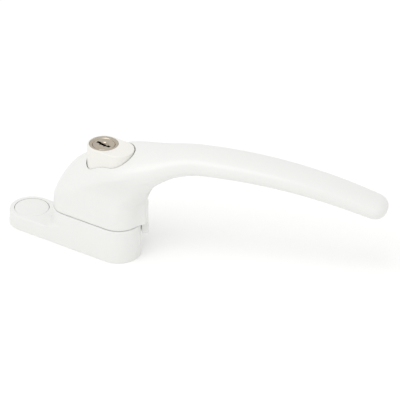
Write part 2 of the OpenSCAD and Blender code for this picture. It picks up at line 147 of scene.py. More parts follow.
TIP_END = 0.03               # share of the last section that the tip's end face keeps
CRANK = math.radians(24)
BEND_FROM = 11 * MM
BEND_TO = BASE_END + 3.5 * MM
SCREW_HOLE_RADIUS = 2.65 * MM
SCREW_HEAD_RADIUS = 4.7 * MM
CAP_SEAT = LOW_TOP - 2.3 * MM
CAP_GAP = 0.14 * MM
PIN_HOLE_GAP = 0.35 * MM
PIN_HOLE_FLOOR = LOW_TOP + 1 * MM
RECESS_RADIUS = SLEEVE_RADIUS + 1.2 * MM
RECESS_HEIGHT = BUSH_BOTTOM
CORE_HALF_WIDTH = 5.5 * MM   # of the hollows in the base's back
CORE_HEIGHT = 3.2 * MM
CORE_START = 5.6 * MM - BASE_END
RECESS_WALL = 1.6 * MM
SCREW_WALL = 2.4 * MM
POCKET_GAP = 0.14 * MM
END_GAP = 0.25 * MM
WAIST_DEPTH = 12.5 * MM
TAIL_DEPTH = 8 * MM
PRESS_DEPTH = 4.8 * MM       # travel of the button and the room under it
LOCK_ROOM_RADIUS = 7.15 * MM
SEAT_GAP = 0.15 * MM
SPIGOT_RADIUS = 3.5 * MM
SPIGOT_HEIGHT = 5.5 * MM
FLANGE_THICKNESS = 1.3 * MM
FLANGE_GAP = 0.04 * MM
HOUSING_RADIUS = FACE_RADIUS - 0.3 * MM
BARREL_BORE = BARREL_RADIUS + SLIP
BARREL_FLOOR = FACE_BOTTOM + 2 * MM
TAIL_PIN_RADIUS = 1.3 * MM
SLOT_DEPTH = 9 * MM
SLOT_REACH = 3.3 * MM        # from the lock's axis to the slot's ends
SLOT_STEP = 0.45 * MM        # sideways step halfway along the key slot
DISH_RADIUS = 1.9 * MM       # round recess in the barrel's face
DISH_FLOOR_RADIUS = 1.6 * MM
DISH_DEPTH = 0.35 * MM


class HandleSizes(PropertyGroup):
    """Sizes that change the look of the edges and how finely the pieces are divided."""

    base_edge: FloatProperty(
        name="Base edge", description="Rounding of the base's top edges",
        default=0.7 * MM, min=0.2 * MM, max=2 * MM, subtype="DISTANCE", unit="LENGTH",
    )
    foot_radius: FloatProperty(
        name="Foot radius", description="Radius of the concave foot of the platform",
        default=3 * MM, min=1 * MM, max=5 * MM, subtype="DISTANCE", unit="LENGTH",
    )
    hub_edge: FloatProperty(
        name="Hub edge", description="Rounding of the hub's lower edge",
        default=0.35 * MM, min=0.1 * MM, max=1 * MM, subtype="DISTANCE", unit="LENGTH",
    )
    button_edge: FloatProperty(
        name="Button edge", description="Rounding of the push button's top edge",
        default=0.55 * MM, min=0.1 * MM, max=1 * MM, subtype="DISTANCE", unit="LENGTH",
    )
    cap_edge: FloatProperty(
        name="Cap edge", description="Rounding of the screw cap's rim",
        default=0.35 * MM, min=0.1 * MM, max=0.8 * MM, subtype="DISTANCE", unit="LENGTH",
    )
    key_slot: FloatProperty(
        name="Key slot", description="Width of the key slot in the lock's face",
        default=1.3 * MM, min=0.6 * MM, max=2.4 * MM, subtype="DISTANCE", unit="LENGTH",
    )
    round_points: IntProperty(
        name="Round points", description="Number of points round a turned piece",
        default=96, min=24, max=256,
    )
    ring_points: IntProperty(
        name="Ring points", description="Number of points round the lever",
        default=72, min=24, max=160,
    )
    ring_steps: IntProperty(
        name="Ring steps", description="Number of rings from one section of the lever to the next",
        default=5, min=1, max=12,
    )


class HandleFinishes(PropertyGroup):
    """Colours and roughness of the finishes."""

    powder_colour: FloatVectorProperty(
        name="Powder coat", description="Colour of the powder-coated castings",
        default=(0.775, 0.775, 0.76), size=3, min=0, max=1, subtype="COLOR",
    )
    powder_roughness: FloatProperty(
        name="Powder coat roughness", description="Roughness of the powder coat",
        default=0.3, min=0, max=1, subtype="FACTOR",
    )
    plastic_colour: FloatVectorProperty(
        name="Button plastic", description="Colour of the push button",
        default=(0.79, 0.777, 0.735), size=3, min=0, max=1, subtype="COLOR",
    )
    nickel_colour: FloatVectorProperty(
        name="Nickel", description="Colour of the plated lock",
        default=(0.52, 0.46, 0.38), size=3, min=0, max=1, subtype="COLOR",
    )
    steel_colour: FloatVectorProperty(
        name="Steel", description="Colour of the zinc-plated steel parts",
        default=(0.60, 0.61, 0.63), size=3, min=0, max=1, subtype="COLOR",
    )
    brass_colour: FloatVectorProperty(
        name="Brass", description="Colour of the lock's wafers",
        default=(0.78, 0.58, 0.28), size=3, min=0, max=1, subtype="COLOR",
    )
    acetal_colour: FloatVectorProperty(
        name="Acetal", description="Colour of the bush and the washer",
        default=(0.80, 0.79, 0.74), size=3, min=0, max=1, subtype="COLOR",
    )
    floor_colour: FloatVectorProperty(
        name="Floor", description="Colour of the floor",
        default=(0.96, 0.96, 0.955), size=3, min=0, max=1, subtype="COLOR",
    )


# ---------- solids ----------

def cylinder(radius, bottom, top, x=0.0, y=0.0):
    """Upright cylinder."""
    points = bpy.context.scene.handle_sizes.round_points
    bm = bmesh.new()
    bmesh.ops.create_cone(
        bm, cap_ends=True, segments=points, radius1=radius, radius2=radius,
        depth=top - bottom,
        matrix=Matrix.Translation((x, y, (top + bottom) / 2))
        @ Matrix.Rotation(math.pi / points, 4, "Z"),
    )
    return bm


def slot_block(start, end, radius, bottom, top, edge=0.0):
    """Upright block with two round ends, its top edge rounded by edge."""
    bm = cylinder(radius, bottom, top)
    for v in bm.verts:
        v.co.x += end if v.co.x > 0 else start
    if edge:
        rim = [e for e in bm.edges if min(v.co.z for v in e.verts) > top - TINY]
        round_edges(bm, rim, edge, 5)
    return bm


def box(low, high):
    """Upright box between two corners."""
    bm = bmesh.new()
    size = [b - a for a, b in zip(low, high)]
    middle = [(a + b) / 2 for a, b in zip(low, high)]
    bmesh.ops.create_cube(
        bm, size=1, matrix=Matrix.Translation(middle) @ Matrix.Diagonal((*size, 1))
    )
    return bm


def turned(profile, x=0.0, y=0.0):
    """Solid turned round an upright axis from (radius, height) points between two axis points."""
    bm = bmesh.new()
    verts = [bm.verts.new((x + radius, y, height)) for radius, height in profile]
    edges = [bm.edges.new(pair) for pair in zip(verts, verts[1:])]
    bmesh.ops.spin(
        bm, geom=verts + edges, cent=(x, y, 0), axis=(0, 0, 1), angle=math.tau,
        steps=bpy.context.scene.handle_sizes.round_points, use_merge=True,
    )
    bmesh.ops.remove_doubles(bm, verts=bm.verts, dist=TINY)
    bmesh.ops.recalc_face_normals(bm, faces=bm.faces)
    return bm


def round_edges(bm, edges, radius, segments):
    """Rounds the given edges."""
    bmesh.ops.bevel(
        bm, geom=edges, offset=radius, offset_type="OFFSET", segments=segments, profile=0.5,
        affect="EDGES", clamp_overlap=True, material=-1,
    )


def arc(centre_radius, centre_height, radius, start, stop, steps):
    """(radius, height) points of an arc between two angles in degrees."""
    angles = [math.radians(start + (stop - start) * i / steps) for i in range(steps + 1)]
    return [
        (centre_radius + radius * math.cos(a), centre_height + radius * math.sin(a))
        for a in angles
    ]


def scratch_object(bm):
    """Turns a bmesh into a linked object and frees it."""
    mesh = bpy.data.meshes.new("scratch")
    bm.to_mesh(mesh)
    bm.free()
    made = bpy.data.objects.new("scratch", mesh)
    bpy.context.scene.collection.objects.link(made)
    return made


def combine(solid, operation, tools):
    """Joins, cuts or intersects a solid with each tool in turn and returns the new solid."""
    for tool in tools:
        target = scratch_object(solid)
        other = scratch_object(tool)
        modifier = target.modifiers.new("combine", "BOOLEAN")
        modifier.operation = operation
        modifier.solver = "EXACT"
        modifier.object = other
        solid = bmesh.new()
        solid.from_object(target, bpy.context.evaluated_depsgraph_get())
        for scratch in (target, other):
            mesh = scratch.data
            bpy.data.objects.remove(scratch)
            bpy.data.meshes.remove(mesh)
    bmesh.ops.remove_doubles(solid, verts=solid.verts, dist=4 * TINY)
    bmesh.ops.dissolve_degenerate(solid, edges=solid.edges, dist=TINY)
    return solid


def add_piece(bm, name, body, node, material, sharp=28):
    """Makes the piece that stands for a node of the frame."""
    bmesh.ops.recalc_face_normals(bm, faces=bm.faces)
    for face in bm.faces:
        face.smooth = True
    for edge in bm.edges:
        edge.smooth = edge.calc_face_angle(0) < math.radians(sharp)
    mesh = bpy.data.meshes.new(name)
    bm.to_mesh(mesh)
    bm.free()
    mesh.materials.append(material)
    piece = bpy.data.objects.new(name, mesh)
    bpy.context.scene.collection.objects.link(piece)
    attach(piece, body)
    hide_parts(node)
    return piece


# ---------- materials ----------

class Wire:
    """An output socket of a material. Arithmetic on it adds Math nodes."""

    def __init__(self, tree, socket=None):
        self.tree = tree
        self.socket = socket

    def node(self, kind, settings=None, sockets=None, output=0):
        """Adds a node, sets its settings first and its sockets next, and wraps one output."""
        made = self.tree.nodes.new("ShaderNode" + kind)
        for name, value in (settings or {}).items():
            setattr(made, name, value)
        for name, value in (sockets or {}).items():
            if isinstance(value, Wire):
                self.tree.links.new(value.socket, made.inputs[name])
            else:
                made.inputs[name].default_value = value
        return Wire(self.tree, made.outputs[output] if made.outputs else None)

    def math(self, operation, first, second):
        """Adds a Math node."""
        return self.node("Math", {"operation": operation}, {0: first, 1: second})

    def __add__(self, other):
        return self.math("ADD", self, other)

    def __mul__(self, other):
        return self.math("MULTIPLY", self, other)

    def __sub__(self, other):
        return self.math("SUBTRACT", self, other)

    def __rsub__(self, other):
        return self.math("SUBTRACT", other, self)

    __radd__ = __add__
    __rmul__ = __mul__


def new_material(name):
    """An empty material and the wire that its nodes start from."""
    material = bpy.data.materials.new(name)
    material.use_nodes = True
    material.node_tree.nodes.clear()
    return material, Wire(material.node_tree)


def rgba(colour, factor=1.0):
    """Colour with alpha, darkened or lightened by a factor."""
    return (*[min(c * factor, 1.0) for c in colour], 1.0)


def end_material(start, **sockets):
    """Closes a material with a Principled shader."""
    named = {name.replace("_", " "): value for name, value in sockets.items()}
    shader = start.node("BsdfPrincipled", {}, named)
    start.node("OutputMaterial", {}, {"Surface": shader})


def mixed_colour(start, factor, first, second):
    """Colour between two others."""
    return start.node("Mix", {"data_type": "RGBA"}, {0: factor, 6: first, 7: second}, 2)


def noise(start, scale, detail=3.0):
    """Noise on the object's own coordinates."""
    where = start.node("TexCoord", output=3)
    return start.node("TexNoise", {}, {"Vector": where, "Scale": scale, "Detail": detail})


def coating(name, colour, roughness, peel_scale=900.0, peel_depth=0.012):
    """Powder coat or moulded plastic: fine peel, faint cloudiness, satin gloss."""
    material, start = new_material(name)
    cloud = noise(start, 60.0, 4.0)
    peel = noise(start, peel_scale, 2.0)
    colours = mixed_colour(start, cloud, rgba(colour, 0.985), rgba(colour, 1.012))
    bump = start.node(
        "Bump", {}, {"Strength": 0.35, "Distance": peel_depth * MM, "Height": peel}
    )
    end_material(
        start, Base_Color=colours, Roughness=cloud * 0.08 + (roughness - 0.04),
        IOR=1.5, Normal=bump,
    )
    return material


def metal(name, colour, roughness, grain=(900.0, 900.0, 60.0)):
    """Plated or bare metal with a drawn grain."""
    material, start = new_material(name)
    where = start.node("TexCoord", output=3)
    stretched = start.node("Mapping", {"vector_type": "POINT"}, {"Vector": where, "Scale": grain})
    streaks = start.node("TexNoise", {}, {"Vector": stretched, "Scale": 1.0, "Detail": 3.0})
    stains = noise(start, 180.0)
    colours = mixed_colour(start, stains, rgba(colour, 0.86), rgba(colour, 1.1))
    bump = start.node(
        "Bump", {}, {"Strength": 0.3, "Distance": 0.02 * MM, "Height": streaks}
    )
    end_material(
        start, Base_Color=colours, Metallic=1.0,
        Roughness=streaks * 0.14 + stains * 0.08 + (roughness - 0.1), Normal=bump,
    )
    return material


def faced_metal(name, colour, roughness):
    """Plated metal whose face carries the fine rings of a lathe tool about the lock's axis."""
    material, start = new_material(name)
    where = start.node("TexCoord", output=3)
    centred = start.node(
        "Mapping", {"vector_type": "POINT"}, {"Vector": where, "Location": (-LOCK_X, 0.0, 0.0)}
    )
    rings = start.node(
        "TexWave", {"wave_type": "RINGS", "rings_direction": "Z"},
        {"Vector": centred, "Scale": 420.0, "Distortion": 1.2, "Detail": 2.0},
    )
    stains = noise(start, 260.0)
    colours = mixed_colour(start, stains, rgba(colour, 0.84), rgba(colour, 1.12))
    bump = start.node("Bump", {}, {"Strength": 0.25, "Distance": 0.02 * MM, "Height": rings})
    end_material(
        start, Base_Color=colours, Metallic=1.0,
        Roughness=rings * 0.08 + stains * 0.1 + (roughness - 0.09), Normal=bump,
    )
    return material


def floor_finish(colour):
    """Matt floor with a faint cloudiness."""
    material, start = new_material("Floor paper")
    cloud = noise(start, 4.0)
    colours = mixed_colour(start, cloud, rgba(colour, 0.995), rgba(colour))
    end_material(start, Base_Color=colours, Roughness=0.9, Specular_IOR_Level=0.1)
    return material


# ---------- base and cap ----------

class HANDLE_OT_base(Operator):
    """Build the base plate with its platform, concave foot and back pockets."""

    bl_idname = "handle.base"
    bl_label = "Base plate"

    def execute(self, context):
        sizes = context.scene.handle_sizes
        edge = sizes.base_edge
        foot = sizes.foot_radius
        low = slot_block(-BASE_END, BASE_END, BASE_RADIUS - FLUSH_STEP, 0.0, LOW_TOP, edge)
        platform = slot_block(0.0, BASE_END, BASE_RADIUS, LOW_TOP / 4, PLATFORM_TOP, edge)
        flare = [(0.0, LOW_TOP / 2), (BASE_RADIUS + foot, LOW_TOP / 2)]
        flare += arc(BASE_RADIUS + foot, LOW_TOP + foot - FLUSH_STEP, foot, 270, 180, 16)
        flare += [(0.0, LOW_TOP + foot)]
        flare = combine(
            turned(flare), "INTERSECT",
            [slot_block(-BASE_END, 0.0, BASE_RADIUS - 2 * FLUSH_STEP, 0.0, PLATFORM_TOP)],
        )
        bm = combine(low, "UNION", [platform, flare])
        over = PLATFORM_TOP + PAST
        below = -PAST
        cone = SCREW_HEAD_RADIUS - SCREW_HOLE_RADIUS
        cuts = [
            cylinder(CAP_RADIUS + CAP_GAP, CAP_SEAT, over, -BASE_END),
            cylinder(SCREW_HEAD_RADIUS, CAP_SEAT, over, BASE_END),
            cylinder(BUSH_RADIUS, below, over),
            cylinder(WASHER_RADIUS, WASHER_BOTTOM, over),
            cylinder(RECESS_RADIUS, below, RECESS_HEIGHT),
            cylinder(PIN_RADIUS + PIN_HOLE_GAP, PIN_HOLE_FLOOR, over, *PIN_AT),
        ]
        for end in (-BASE_END, BASE_END):
            cuts.append(turned([
                (0.0, below), (SCREW_HOLE_RADIUS, below), (SCREW_HOLE_RADIUS, CAP_SEAT - cone),
                (SCREW_HEAD_RADIUS, CAP_SEAT + FLUSH_STEP), (0.0, CAP_SEAT + FLUSH_STEP),
            ], end))
        inner = RECESS_RADIUS + RECESS_WALL
        for start, stop in (
            (CORE_START, -inner), (inner, BASE_END - SCREW_HOLE_RADIUS - SCREW_WALL),
        ):
            cuts.append(box(
                (start, -CORE_HALF_WIDTH, below), (stop, CORE_HALF_WIDTH, CORE_HEIGHT)
            ))
        for cut in cuts:
            bm = combine(bm, "DIFFERENCE", [cut])
        add_piece(bm, "base_casting", "base", "base_plate", finish("powder"))
        return {"FINISHED"}


class HANDLE_OT_cap(Operator):
    """Build the round cap that hides the left fixing screw."""

    bl_idname = "handle.cap"
    bl_label = "Screw cap"

    def execute(self, context):
        edge = context.scene.handle_sizes.cap_edge
        wall = 1.1 * MM
        bottom, top = CAP_LOW[2], CAP_HIGH[2]
        roof = top - 1.2 * MM
        profile = [(0.0, roof), (CAP_RADIUS - wall, roof), (CAP_RADIUS - wall, bottom)]
        profile += [(CAP_RADIUS, bottom)]
        profile += arc(CAP_RADIUS - edge, top - edge, edge, 0, 90, 6)
        profile += [(CAP_RADIUS * 0.5, top), (0.0, top)]
        add_piece(
            turned(profile, -BASE_END), "cap_cover", "cap", "screw_cap",
            finish("cap"),
        )
        return {"FINISHED"}


# ---------- lever ----------

def grip_section(f):
    """Section of the grip at the fraction f of its length."""
    along = NECK + f * GRIP_LENGTH
    height = LEVER_TOP - GRIP_THICKNESS / 2 - TIP_DROP * f * f
    slope = 2 * TIP_DROP / GRIP_LENGTH * f
    half = GRIP_THICKNESS / 2 * (1 - THICKNESS_LOSS * f)
    width = GRIP_WIDTH / 2 * (1 - WIDTH_LOSS * f ** 3)
    return (
        along + half * slope, height + half, along - half * slope, height - half, width,
        1, 0, 0, 0,
    )


def lever_sections():
    """Slices of the lever from the hub's underside to the tip.

    Each slice is (outer point along the lever, its height, inner point, its height,
    half width, 0 slot shape to 1 oval, bulge over the lip, widening of the near shoulder,
    rise of the far shoulder).
    """
    r, mm = HUB_RADIUS, MM
    end, low, top = HUB_END, HUB_BOTTOM, LEVER_TOP
    mid = (HUB_RADIUS + GRIP_WIDTH / 2) / 2
    neck = [
        (0.5 * mm - r, low, end, low, r, 0, 1, 0, 0),
        (0.5 * mm - r, low + 4 * mm, end, low + 4 * mm, r, 0, 1, 0, 0),
        (1.5 * mm - r, low + 7.6 * mm, end + 0.1 * mm, low + 7.4 * mm, r, 0, 1, 0, 0),
        (3.7 * mm - r, low + 12.9 * mm, end + 0.5 * mm, low + 9.6 * mm, r, 0.2, 0.9, 0, 2.1 * mm),
        (7.6 * mm - r, low + 17.5 * mm, end + 1.8 * mm, low + 12.1 * mm, r,
         0.2, 0.6, 0.2 * mm, 4.8 * mm),
        (13.4 * mm - r, low + 22.5 * mm, end + 3.2 * mm, low + 14.8 * mm, r,
         0.1, 0.4, 1.7 * mm, 6.3 * mm),
        (21.8 * mm - r, top - 7.1 * mm, end + 6.2 * mm, low + 17.9 * mm, r,
         0.5, 0.2, 5 * mm, 5.3 * mm),
        (end - 5.6 * mm, top - 3.1 * mm, end + 10.4 * mm, top - 14.4 * mm, r,
         0.9, 0, 5 * mm, 3.9 * mm),
        (end + 7.9 * mm, top - 1.4 * mm, end + 15.5 * mm, top - 11.5 * mm, mid,
         1, 0, 2.3 * mm, 0.8 * mm),
        (NECK - 1.5 * mm, top, NECK + 1.5 * mm, top - GRIP_THICKNESS, GRIP_WIDTH / 2, 1, 0, 0, 0),
    ]
    return neck + [grip_section(i / 6) for i in range(1, 7)]


def between(sections, place):
    """Smooth value between the listed sections."""
    i = min(int(place), len(sections) - 2)
    f = place - i
    near = [sections[min(max(i + k, 0), len(sections) - 1)] for k in (-1, 0, 1, 2)]
    return [
        (2 * b + (c - a) * f + (2 * a - 5 * b + 4 * c - d) * f ** 2
         + (3 * b - a - 3 * c + d) * f ** 3) / 2
        for a, b, c, d in zip(*near)
    ]


def tip_section(last, turn):
    """Section of the rounded tip at an angle from its start to its end."""
    go = TIP_LENGTH * math.sin(turn)
    keep = max(math.cos(turn) ** TIP_FULLNESS, TIP_END)
    along = (last[0] + last[2]) / 2
    height = (last[1] + last[3]) / 2
    fall = TIP_SLOPE * go
    return (
        along + go + (last[0] - along) * keep, height + fall + (last[1] - height) * keep,
        along + go + (last[2] - along) * keep, height + fall + (last[3] - height) * keep,
        last[4] * keep, 1, 0, 0, 0,
    )


def heading(along):
    """Direction of the lever's path at a distance along it."""
    return CRANK * min(max((along - BEND_FROM) / (BEND_TO - BEND_FROM), 0), 1)


def path_point(along):
    """Point of the lever's path, seen from above."""
    if along <= BEND_FROM:
        return Vector((along, 0.0))
    turn = heading(along)
    radius = (BEND_TO - BEND_FROM) / CRANK
    point = Vector((BEND_FROM + radius * math.sin(turn), radius * (1 - math.cos(turn))))
    return point + max(along - BEND_TO, 0) * Vector((math.cos(turn), math.sin(turn)))


OVAL_POWER = 2 / 2.4         # 1 would give an ellipse, less a fuller oval
LIP_PULL = 0.5               # share of the lip's bulge that goes along the lever
LIP_PUSH = 0.88              # share of the lip's bulge that goes sideways


def signed_power(value, power):
    """Power that keeps the sign."""
    return math.copysign(abs(value) ** power, value)


def on_section(q, angle):
    """Point of a section's rim at an angle, blended from a slot shape to an oval."""
    middle = (q[0] + q[2]) / 2
    half_x, half_z = (q[0] - q[2]) / 2, (q[1] - q[3]) / 2
    half = math.hypot(half_x, half_z)
    width = q[4]
    corner = min(half, width)
    blend, bulge = min(max(q[5], 0), 1), max(q[6], 0)
    c, s = math.cos(angle), math.sin(angle)
    on_lip_side = c < 0 and s > 0
    bulge *= LIP_OVERHANG if on_lip_side else 0
    along_slot = math.copysign(half - corner, c) + corner * c - LIP_PULL * bulge
    across_slot = math.copysign(width - corner, s) + corner * s + LIP_PUSH * bulge
    shoulder = (1 + c) / 2
    along = (1 - blend) * along_slot + blend * half * signed_power(c, OVAL_POWER)
    along += q[8] * s * shoulder
    across = (1 - blend) * across_slot + blend * width * signed_power(s, OVAL_POWER)
    across += q[7] * min(s, 0) * shoulder
    turn = heading(middle)
    point = path_point(middle)
    run = along / half * half_x
    return Vector((
        point.x + run * math.cos(turn) - across * math.sin(turn),
        point.y + run * math.sin(turn) + across * math.cos(turn),
        (q[1] + q[3]) / 2 + along / half * half_z,
    ))


def section_loop(bm, q, points, drop=0.0):
    """One loop of edges: a circle whose points are moved onto a section's rim."""
    verts = bmesh.ops.create_circle(bm, segments=points, radius=1)["verts"]
    for i, v in enumerate(verts):
        v.co = on_section(q, math.tau * (i + 0.5) / points) - Vector((0, 0, drop))
    return list({e for v in verts for e in v.link_edges})


def lever_skin(sizes):
    """Outer skin of hub, neck and grip, carried down to the end of the lip."""
    sections = lever_sections()
    steps = sizes.ring_steps
    tip_steps = 9
    bm = bmesh.new()
    loops = [section_loop(bm, sections[0], sizes.ring_points, LIP_HEIGHT)]
    for i in range((len(sections) - 1) * steps + 1):
        loops.append(section_loop(bm, between(sections, i / steps), sizes.ring_points))
    for i in range(1, tip_steps + 1):
        q = tip_section(sections[-1], math.pi / 2 * i / tip_steps)
        loops.append(section_loop(bm, q, sizes.ring_points))
    for lower, upper in zip(loops, loops[1:]):
        bmesh.ops.bridge_loops(bm, edges=lower + upper)
    for end in (loops[0], loops[-1]):
        bmesh.ops.contextual_create(bm, geom=end)
    bmesh.ops.recalc_face_normals(bm, faces=bm.faces)
    return bm


def side_block(turn, side):
    """Block that fills one side of a line through the base's right end, under the hub."""
    reach = 80 * MM
    y_low, y_high = (0.0, reach) if side > 0 else (-reach, 0.0)
    bm = box(
        (-reach, y_low, HUB_BOTTOM - LIP_HEIGHT - PAST), (reach, y_high, HUB_BOTTOM)
    )
    bmesh.ops.transform(
        bm, verts=bm.verts,
        matrix=Matrix.Translation((BASE_END, 0, 0)) @ Matrix.Rotation(turn, 4, "Z"),
    )
    return bm


def stop_groove():
    """Arc groove in the hub's underside that runs over the stop pin."""
    radius = STOP_PIN_AT.length
    half = STOP_PIN_RADIUS + SEAT_GAP
    reach = SWING / 2 + math.asin(STOP_PIN_RADIUS / radius)
    bm = bmesh.new()
    bottom, top = HUB_BOTTOM - PAST, STOP_PIN_TOP + 0.4 * MM
    corners = [
        bm.verts.new((radius + x, 0, z))
        for x, z in ((-half, bottom), (half, bottom), (half, top), (-half, top))
    ]
    face = bm.faces.new(corners)
    bmesh.ops.rotate(bm, verts=bm.verts, matrix=Matrix.Rotation(-reach, 3, "Z"))
    bmesh.ops.spin(bm, geom=[face], axis=(0, 0, 1), cent=(0, 0, 0), angle=2 * reach, steps=40)
    bmesh.ops.recalc_face_normals(bm, faces=bm.faces)
    return bm


class HANDLE_OT_lever(Operator):
    """Build the lever: hub, cranked neck, grip, stop lip and the pockets inside the hub."""

    bl_idname = "handle.lever"
    bl_label = "Lever"

    def execute(self, context):
        sizes = context.scene.handle_sizes
        under = HUB_BOTTOM - LIP_HEIGHT - PAST
        clearance = slot_block(0.0, BASE_END, BASE_RADIUS + LIP_GAP, under, HUB_BOTTOM)
        bm = combine(lever_skin(sizes), "DIFFERENCE", [
            clearance, side_block(LIP_FROM, -1), side_block(LIP_TO, 1),
        ])
        self.round_lower_edges(bm, sizes.hub_edge)
        over = LEVER_TOP + 20 * MM
        pocket = BUTTON_RADIUS + POCKET_GAP
        plate_top = PLATE_HIGH[2]
        below = HUB_BOTTOM - PAST
        shoulder = SLEEVE_TOP - SPIGOT_HEIGHT
        ceiling = SLEEVE_TOP + SEAT_GAP
        waist_floor = BUTTON_TOP - WAIST_DEPTH - PRESS_DEPTH
        tail_floor = BUTTON_TOP - TAIL_DEPTH - PRESS_DEPTH
        left, right = LOCK_X - END_GAP, LOCK_X + BUTTON_LENGTH + END_GAP
        cuts = [
            slot_block(left, LOCK_X, pocket - FLUSH_STEP, plate_top - PAST, over),
            slot_block(left, LOCK_X + BUTTON_LENGTH / 2, pocket, waist_floor, over),
            slot_block(LOCK_X, right, pocket + FLUSH_STEP, tail_floor, over),
            turned([
                (0.0, below), (SLEEVE_RADIUS, below), (SLEEVE_RADIUS, shoulder),
                (SPIGOT_RADIUS, shoulder), (SPIGOT_RADIUS, ceiling), (0.0, ceiling),
            ]),
            stop_groove(),
            cylinder(LOCK_ROOM_RADIUS, below, plate_top, LOCK_X),
            box(
                (LOCK_X, PLATE_LOW[1] - SEAT_GAP, below),
                (PLATE_HIGH[0] + SEAT_GAP, PLATE_HIGH[1] + SEAT_GAP, plate_top),
            ),
        ]
        bm = combine(bm, "DIFFERENCE", cuts)
        add_piece(bm, "lever_casting", "handle", "lever", finish("powder"))
        return {"FINISHED"}

    @staticmethod
    def round_lower_edges(bm, radius):
        """Rounds the outer lower edge of the hub and the lip."""
        levels = (HUB_BOTTOM, HUB_BOTTOM - LIP_HEIGHT)
        rim = []
        for edge in bm.edges:
            a, b = (v.co for v in edge.verts)
            flat = any(abs(a.z - z) < TINY * 10 and abs(b.z - z) < TINY * 10 for z in levels)
            if flat and edge.calc_face_angle(0) > math.radians(60):
                rim.append(edge)
        round_edges(bm, rim, radius, 3)


# ---------- push button and lock ----------

class HANDLE_OT_button(Operator):
    """Build the push button with its stepped tail and the bore of the lock."""

    bl_idname = "handle.button"
    bl_label = "Push button"

    def execute(self, context):
        edge = context.scene.handle_sizes.button_edge
        r = BUTTON_RADIUS
        skirt = BUTTON_LOW[2]
        over = BUTTON_TOP + PAST
        bm = combine(
            slot_block(LOCK_X, LOCK_X + BUTTON_LENGTH, r, BUTTON_TOP - TAIL_DEPTH, BUTTON_TOP, edge),
            "UNION",
            [
                slot_block(
                    LOCK_X, LOCK_X + BUTTON_LENGTH / 2, r - FLUSH_STEP,
                    BUTTON_TOP - WAIST_DEPTH, BUTTON_TOP - 2 * MM,
                ),
                cylinder(r - 2 * FLUSH_STEP, skirt, BUTTON_TOP - 3 * MM, LOCK_X),
            ],
        )
        bm = combine(bm, "DIFFERENCE", [
            cylinder(HOUSING_RADIUS + SLIP, skirt - PAST, over, LOCK_X),
            cylinder(FACE_RADIUS + FLANGE_GAP, FACE_TOP - FLANGE_THICKNESS, over, LOCK_X),
        ])
        mouth = [
            e for e in bm.edges
            if min(v.co.z for v in e.verts) > BUTTON_TOP - TINY * 10
            and e.calc_face_angle(0) > math.radians(60)
        ]
        round_edges(bm, mouth, 0.12 * MM, 2)
        add_piece(bm, "button_body", "button", "push_button", finish("plastic"))
        return {"FINISHED"}


class HANDLE_OT_lock(Operator):
    """Build the lock's face and housing and the barrel with its key slot."""

    bl_idname = "handle.lock"
    bl_label = "Lock"

    def execute(self, context):
        rim = 0.25 * MM
        flange = FACE_TOP - FLANGE_THICKNESS
        lip = 0.3 * MM
        profile = [
            (0.0, FACE_BOTTOM), (HOUSING_RADIUS, FACE_BOTTOM), (HOUSING_RADIUS, flange),
            (FACE_RADIUS, flange),
        ]
        profile += arc(FACE_RADIUS - rim, FACE_TOP - rim, rim, 0, 90, 5)
        profile += [
            (BARREL_BORE + lip, FACE_TOP), (BARREL_BORE, FACE_TOP - lip),
            (BARREL_BORE, BARREL_FLOOR), (0.0, BARREL_FLOOR),
        ]
        shell = turned(profile, LOCK_X)
        shell = combine(shell, "DIFFERENCE", [
            cylinder(TAIL_PIN_RADIUS + SLIP, FACE_BOTTOM - PAST, BARREL_FLOOR + PAST, LOCK_X),
            cylinder(PIN_RADIUS, FACE_BOTTOM - PAST, FACE_BOTTOM + PAST, *PIN_AT),
        ])
        add_piece(shell, "lock_face", "button", "lock_housing", finish("nickel_face"))
        self.barrel(context.scene.handle_sizes.key_slot)
        return {"FINISHED"}

    @staticmethod
    def barrel(slot):
        """Barrel with a stepped key slot and a round recess in its face."""
        bottom = BARREL_FLOOR + SLIP
        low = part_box("lock_barrel")[0][2]
        edge = 0.2 * MM
        profile = [
            (0.0, low), (TAIL_PIN_RADIUS, low), (TAIL_PIN_RADIUS, bottom), (BARREL_RADIUS, bottom),
        ]
        profile += arc(BARREL_RADIUS - edge, BARREL_TOP - edge, edge, 0, 90, 4)
        dish = BARREL_TOP - DISH_DEPTH
        profile += [(DISH_RADIUS, BARREL_TOP), (DISH_FLOOR_RADIUS, dish), (0.0, dish)]
        bm = turned(profile, LOCK_X)
        depth = BARREL_TOP - SLOT_DEPTH
        over = BARREL_TOP + PAST
        half = slot / 2
        bm = combine(bm, "DIFFERENCE", [
            box((LOCK_X - SLOT_REACH, -half, depth), (LOCK_X + 0.8 * MM, half, over)),
            box(
                (LOCK_X + 0.4 * MM, -half - SLOT_STEP, depth),
                (LOCK_X + SLOT_REACH, half - SLOT_STEP, over),
            ),
        ])
        add_piece(bm, "key_barrel", "barrel", "lock_barrel", finish("nickel_barrel"))


# ---------- finishes of the frame's own nodes ----------

FINISHES = {}


